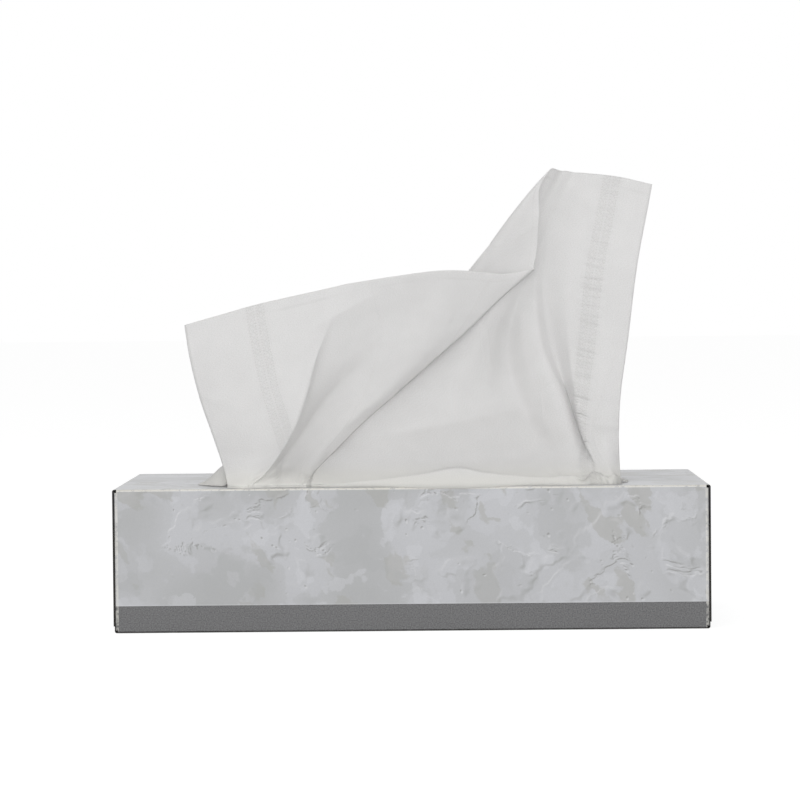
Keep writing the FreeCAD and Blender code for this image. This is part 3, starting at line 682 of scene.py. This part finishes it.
def printed_board():
    """Coated board: plaster print outside with a dark band low down, bare board inside and at cuts, with
    painted shade at the end flaps' side cuts and the bottom edge and painted highlight on the side
    folds.
    """
    finish = Finish("printed_board")
    place = finish.place()
    x, y, z = finish.parts(place)
    facing = finish.parts(finish.add("ShaderNodeNewGeometry", output="True Normal"))
    far_x, far_y = x.size(), y.size()

    colour = plaster(finish, place)
    speckle = finish.noise(place, 0.5, detail=2)
    band_colour = finish.blend(speckle.rise(0.25, 0.75), srgb(82, 82, 83), srgb(117, 117, 118))
    band = z < BAND_TOP
    colour = finish.blend(band, colour, band_colour)
    edge_line = (1 - (z - BAND_TOP - 0.25).size().rise(0.05, 0.3)) * 0.3
    colour = finish.blend(edge_line, colour, srgb(205, 206, 208))
    under = z < 0.4
    colour = finish.blend(under, colour, srgb(188, 188, 187))

    # Folds where the coating has worn to the white paper; the pale lines along the side folds are
    # painted highlight, and a near-black line along the bottom edge is painted shadow
    front_fold = (z > TOP - 0.75) * (far_y > HALF_DEPTH - 0.75)
    end_fold = (z > TOP - 0.8) * (far_x > HALF_LENGTH - 1.0)
    # Painted highlight: pale lines along the front panel's side folds
    side_fold_highlight = (far_y > HALF_DEPTH - 0.7) * (far_x > HALF_LENGTH - 2.1)
    # Painted shadow along the bottom edge of the front and back, where the box stands on the floor
    low_painted_shadow = (z < 0.65) * (far_y > HALF_DEPTH - 0.9)
    wear_and_painted_light_noise = finish.noise(place, 1.6, detail=3, rough=0.7)
    wear_and_highlight = front_fold * wear_and_painted_light_noise.rise(0.3, 0.5) + end_fold * wear_and_painted_light_noise.rise(0.42, 0.6) * 0.7
    wear_and_highlight = wear_and_highlight + side_fold_highlight * wear_and_painted_light_noise.rise(0.35, 0.6) * 0.75
    colour = finish.blend(wear_and_highlight.least(1.0) * 0.75, colour, srgb(224, 222, 214))
    # Painted shadow: the bottom edge darkened to near black
    colour = finish.blend(low_painted_shadow * (wear_and_painted_light_noise.rise(0.2, 0.5) * 0.3 + 0.6), colour, srgb(38, 36, 34))

    # Bare board: cut edges and the inside; the end flaps' side cuts are coloured near black as painted
    # shade
    side_cut_painted_shade = (far_y < END_FLAP_SIDE + 0.5) * (far_y > END_FLAP_SIDE - 0.6) * (facing[1].size() > 0.9)
    side_cut_painted_shade = side_cut_painted_shade * (far_x > HALF_LENGTH - 1.9)
    low_cut = (far_x > END_FLAP_FACE) * (facing[2] < -0.9) * (z > 1.0)
    rim_cut = (far_x < OPENING_HALF[0]) * (far_y < OPENING_HALF[1]) * (facing[2].size() < 0.5) * (z > 50)
    seam_cut = (z > 0.9) * (z < 1.3) * (facing[2] < -0.9) * (y > HALF_DEPTH - 0.6)
    bare = side_cut_painted_shade.most(low_cut).most(rim_cut).most(seam_cut)
    fibres = finish.noise(finish.scaled(place, (1, 1, 3)), 0.35, detail=3)
    raw_board_and_shade = finish.blend(fibres, srgb(128, 118, 104), srgb(170, 158, 140))
    # Painted shade: the end flaps' side cuts near black instead of raw board
    raw_board_and_shade = finish.blend(side_cut_painted_shade, raw_board_and_shade, srgb(34, 32, 30))
    inside = (far_y < HALF_DEPTH - 0.2) * (far_x < HALF_LENGTH - 1.2) * (z < TOP - 0.2) * (z > 0.3)
    lining = finish.blend(finish.noise(place, 3, detail=4), srgb(168, 160, 148), srgb(186, 179, 168))
    colour = finish.blend(inside, colour, lining)
    colour = finish.blend(bare, colour, raw_board_and_shade)

    matt = bare.most(inside)
    rough = matt * 0.4 + 0.36 + (speckle - 0.5) * 0.1
    dents = finish.noise(place, 18, detail=2)
    skin = finish.bump(dents, 0.12, 0.6)
    skin = finish.bump(finish.noise(place, 0.45, detail=2), 0.08, 0.05, skin)
    shader = finish.principled(Base_Color=colour, Roughness=rough, Normal=skin,
                               Specular_IOR_Level=0.5)
    return finish.close(shader)


def tissue_paper():
    """Two soft plies: a fine dry grain, crimped lines that hold the plies, light passing through."""
    finish = Finish("tissue_paper")
    flat = finish.add("ShaderNodeUVMap", uv_map="paper")
    paper = finish.scaled(flat, (TISSUE_WIDTH, TISSUE_WIDTH, 0))
    u, v = finish.parts(paper)[:2]
    grain = finish.noise(finish.scaled(paper, (1, 2.2, 1)), 0.55, detail=3, rough=0.6)
    cloud = finish.noise(paper, 7, detail=4)

    def crimp(at):
        """One crimped line: rows of fine dots on both sides of small crosses."""
        across = (u - at).size()
        beads = (v * (2 * math.pi / 1.15)).wave().rise(-0.2, 0.8)
        rows = 1 - ((across - 2.0).size() - 1.3).size().rise(0.1, 0.4)
        down = ((v / 2.3).math("FRACT") - 0.5).size() * 2.3
        crosses = 1 - ((across - 2.0).size() - down).size().rise(0.1, 0.35)
        return (rows * beads).most(crosses * ((across - 2.0).size() < 0.9) * 0.7)

    def puckers(at):
        """Short creases across a crimped line."""
        near = 1 - (u - at).size().rise(2.0, 6.5)
        return near * finish.noise(finish.scaled(paper, (0.12, 1, 1)), 3.2, detail=1).rise(0.35, 0.65)

    left, right = 28.5, TISSUE_WIDTH - 16.5
    pressed = crimp(left).most(crimp(right))
    colour = finish.blend(cloud.rise(0.3, 0.7), srgb(248, 247.4, 247.4), srgb(250, 249.4, 249.4))
    colour = finish.blend((1 - grain.rise(0.3, 0.7)) * 0.3, colour, srgb(200, 200, 196))
    colour = finish.blend(pressed * 0.15, colour, srgb(185, 185, 181))
    # Painted shade: a faint darker line along a crease about 4 mm below the free edge
    crease_painted_shade = (1 - (v - 4.2).size().rise(0.1, 0.9)) * finish.noise(paper, 30).rise(0.4, 0.6)
    colour = finish.blend(crease_painted_shade * 0.08, colour, srgb(185, 185, 181))
    creases = finish.noise(finish.scaled(paper, (1, 0.3, 1)), 60, detail=2, warp=0.5)
    creases = 1 - (creases - 0.5).size().rise(0.0, 0.008)
    # Painted warm light: the tissue tinted warmer close to the panel
    near_panel = finish.parts(finish.place())[2]
    colour = finish.blend((1 - near_panel.rise(TOP + 1, TOP + 10)) * 0.5, colour, srgb(250, 249, 243))
    skin = finish.bump(grain, 0.25, 0.10)
    skin = finish.bump(1 - pressed, 0.5, 0.2, skin)
    skin = finish.bump(puckers(right) + puckers(left) * 0.3, 0.55, 0.65, skin)
    skin = finish.bump(creases, 0.25, 0.3, skin)
    body = finish.principled(Base_Color=colour, Roughness=0.95, Normal=skin, Specular_IOR_Level=0.15,
                             Sheen_Weight=0.1, Sheen_Roughness=0.5)
    glow = finish.add("ShaderNodeBsdfTranslucent", {"Color": colour, "Normal": skin})
    shader = finish.add("ShaderNodeMixShader", {0: 0.4, 1: body, 2: glow})
    return finish.close(shader)


def stacked_paper():
    """The stack: thin layer lines round its sides, with a dry grain."""
    finish = Finish("stacked_paper")
    place = finish.place()
    height = finish.parts(place)[2]
    sway = finish.noise(place, 40, detail=2)
    layers = ((height + sway) * (2 * math.pi / (STACK_LAYER / 2))).wave()
    grain = finish.noise(place, 0.8, detail=3, rough=0.6)
    colour = finish.blend(layers.rise(-1.0, 0.2), srgb(222, 222, 218), srgb(246, 246, 244))
    skin = finish.bump(layers + grain, 0.3, 0.1)
    return finish.close(finish.principled(Base_Color=colour, Roughness=0.95, Normal=skin,
                                          Specular_IOR_Level=0.15))


def clear_film():
    """Clear film with a light haze."""
    finish = Finish("clear_film")
    haze = finish.noise(finish.place(), 14, detail=3)
    shader = finish.principled(Base_Color=srgb(225, 229, 232), Alpha=haze * 0.1 + 0.4,
                               Roughness=haze * 0.08 + 0.1)
    finish.material.surface_render_method = "BLENDED"
    return finish.close(shader)


# The stage, the lights and the camera

def white_floor():
    """A pale floor that keeps the shadow and shows white to the camera."""
    bpy.ops.mesh.primitive_plane_add(size=16, location=(0, 0, -0.00005))
    floor = bpy.context.object
    floor.name = "floor"
    finish = Finish("pale_floor")
    matt = finish.add("ShaderNodeBsdfDiffuse", {"Color": (0.86, 0.86, 0.86, 1)})
    white = finish.add("ShaderNodeEmission", {"Color": (1, 1, 1, 1), "Strength": 1.2})
    seen = finish.add("ShaderNodeLightPath", output="Is Camera Ray")
    shader = finish.add("ShaderNodeMixShader", {0: seen * 0.72, 1: matt, 2: white})
    floor.data.materials.append(finish.close(shader))


def pale_world():
    """Even light all round, which looks white to the camera and in reflections."""
    world = bpy.data.worlds.new("studio")
    bpy.context.scene.world = world
    world.use_nodes = True
    nodes, links = world.node_tree.nodes, world.node_tree.links
    nodes.clear()
    path = nodes.new("ShaderNodeLightPath")
    seen = nodes.new("ShaderNodeMath")
    seen.operation = "MAXIMUM"
    links.new(path.outputs["Is Camera Ray"], seen.inputs[0])
    links.new(path.outputs["Is Glossy Ray"], seen.inputs[1])
    level = nodes.new("ShaderNodeMapRange")
    level.inputs["To Min"].default_value = WORLD_LEVEL
    level.inputs["To Max"].default_value = 1.0
    links.new(seen.outputs[0], level.inputs["Value"])
    background = nodes.new("ShaderNodeBackground")
    background.inputs["Color"].default_value = (1, 1, 1, 1)
    links.new(level.outputs["Result"], background.inputs["Strength"])
    output = nodes.new("ShaderNodeOutputWorld")
    links.new(background.outputs[0], output.inputs["Surface"])


def soft_lamp(name, place, size, power):
    """A large square lamp at a place, turned to the part."""
    light = bpy.data.lights.new(name, "AREA")
    light.size, light.energy = size, power
    lamp = bpy.data.objects.new(name, light)
    lamp.location = place
    lamp.rotation_euler = (Vector(LAMP_AIM) - Vector(place)).to_track_quat("-Z", "Y").to_euler()
    bpy.context.scene.collection.objects.link(lamp)


def photo_camera():
    """The camera at the photograph's place, turned as it was."""
    yaw, pitch, roll = (math.radians(angle) for angle in CAMERA_TURN)
    forward = Vector((math.sin(yaw) * math.cos(pitch), math.cos(yaw) * math.cos(pitch),
                      -math.sin(pitch)))
    right = Vector((math.cos(yaw), -math.sin(yaw), 0))
    up = right.cross(forward)
    turned_right = right * math.cos(roll) + up * math.sin(roll)
    turned_up = up * math.cos(roll) - right * math.sin(roll)
    data = bpy.data.cameras.new("camera")
    data.lens, data.sensor_width = CAMERA_LENS, 36.0
    data.clip_start, data.clip_end = 0.05, 60
    camera = bpy.data.objects.new("camera", data)
    turn = Matrix((turned_right, turned_up, -forward)).transposed()
    camera.matrix_world = Matrix.Translation(Vector(CAMERA_PLACE) * MM) @ turn.to_4x4()
    bpy.context.scene.collection.objects.link(camera)
    bpy.context.scene.camera = camera


def main():
    """Builds the finish around the frame."""
    photo_camera()
    pale_world()
    white_floor()
    for lamp in LAMPS:
        soft_lamp(*lamp)

    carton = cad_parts["carton"]
    carton.data.materials.clear()
    carton.data.materials.append(printed_board())
    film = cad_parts["window_film"]
    film.data.materials.clear()
    film.data.materials.append(clear_film())
    tissue_stack()
    paper = tissue_paper()
    next_tissue(paper, raised_tissue(paper))


main()

scene = bpy.context.scene
scene.view_settings.view_transform = "Standard"
